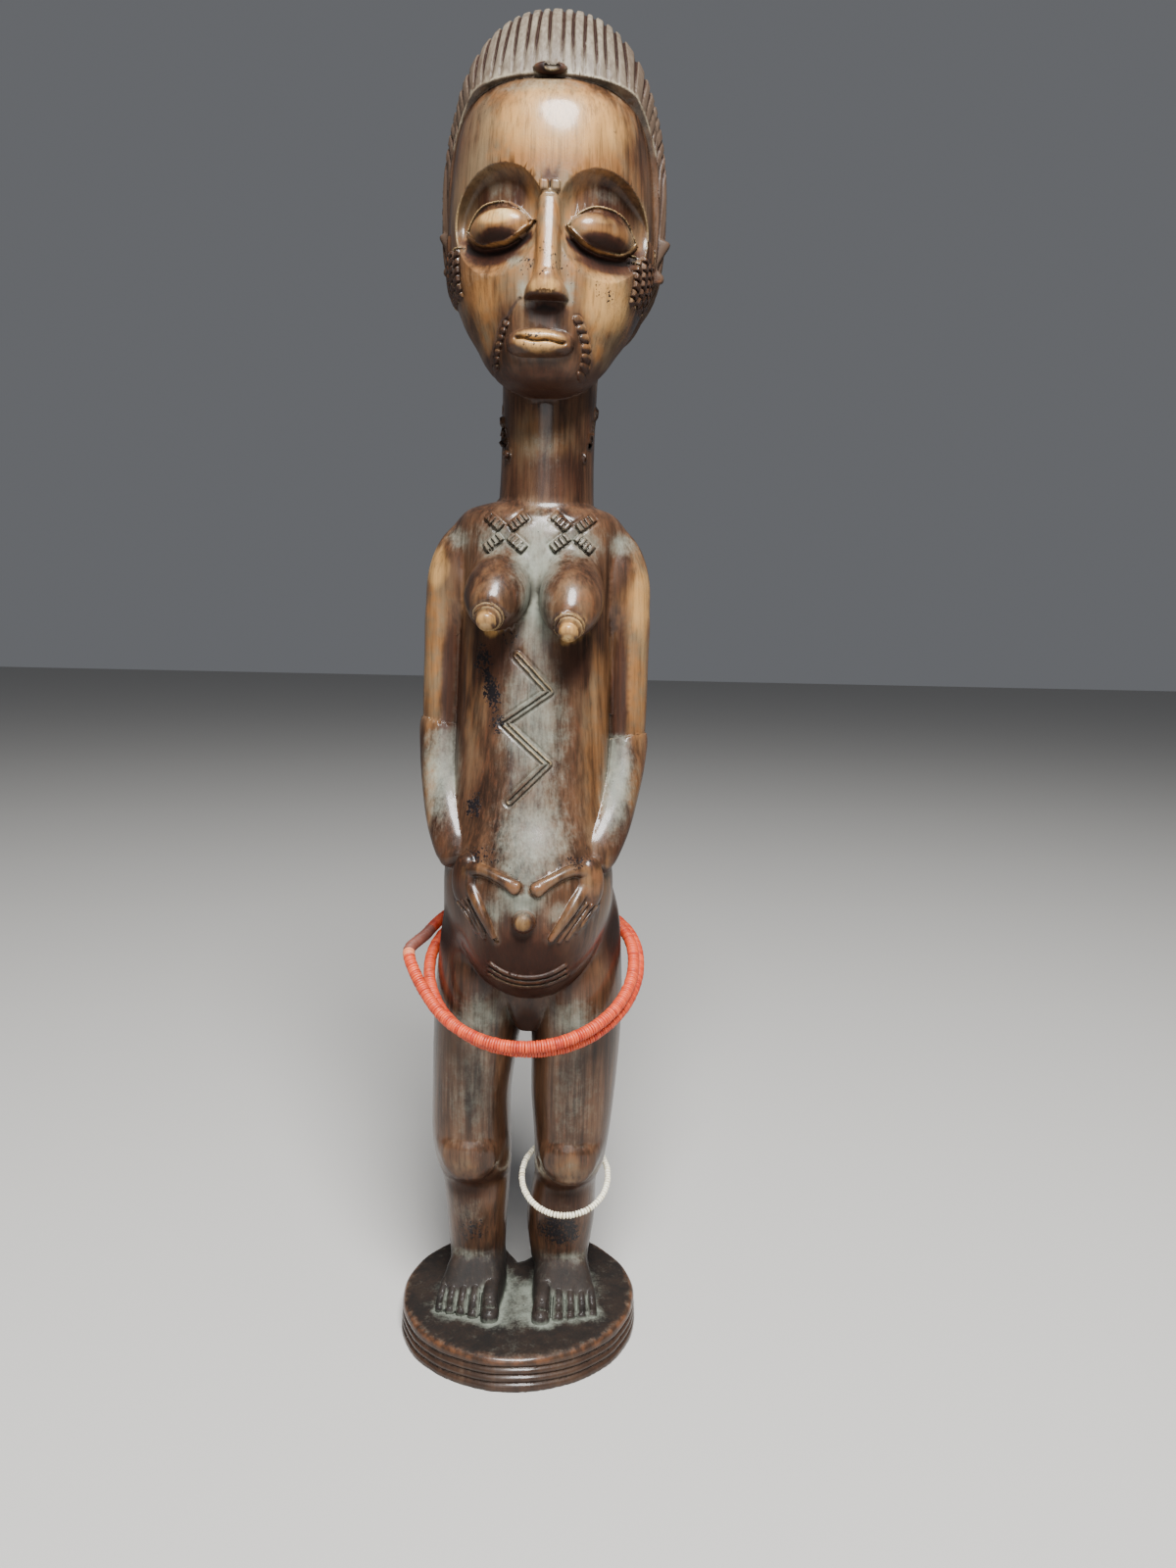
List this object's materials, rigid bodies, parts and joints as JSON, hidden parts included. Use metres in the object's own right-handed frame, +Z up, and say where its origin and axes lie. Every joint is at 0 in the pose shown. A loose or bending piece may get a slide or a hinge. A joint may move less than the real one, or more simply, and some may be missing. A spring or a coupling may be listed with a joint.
{
  "type": "baule female figure",
  "caption": "Carved wooden standing female figure with ridged hair and hands on the belly, on a round base cut from the same block, with a bead string around the hips and one below a knee.",
  "frame": {"origin": "centre of the round base's underside", "axes": "+Z up; the face and belly look along -Y; +X is to the right of someone who faces the figure"},
  "size_m": [0.0981, 0.0975, 0.4962],
  "materials": {
    "carved_wood": "dark brown carved wood, glossy where handled, dusty grey in the cuts",
    "red_discs": "salmon red thin discs, satin, worn grey on the inner edge",
    "white_beads": "opaque white seed beads, satin"
  },
  "bodies": {
    "root": {"figure": "carved_wood", "hip_beads": "red_discs", "leg_beads": "white_beads"}
  },
  "joints": []
}
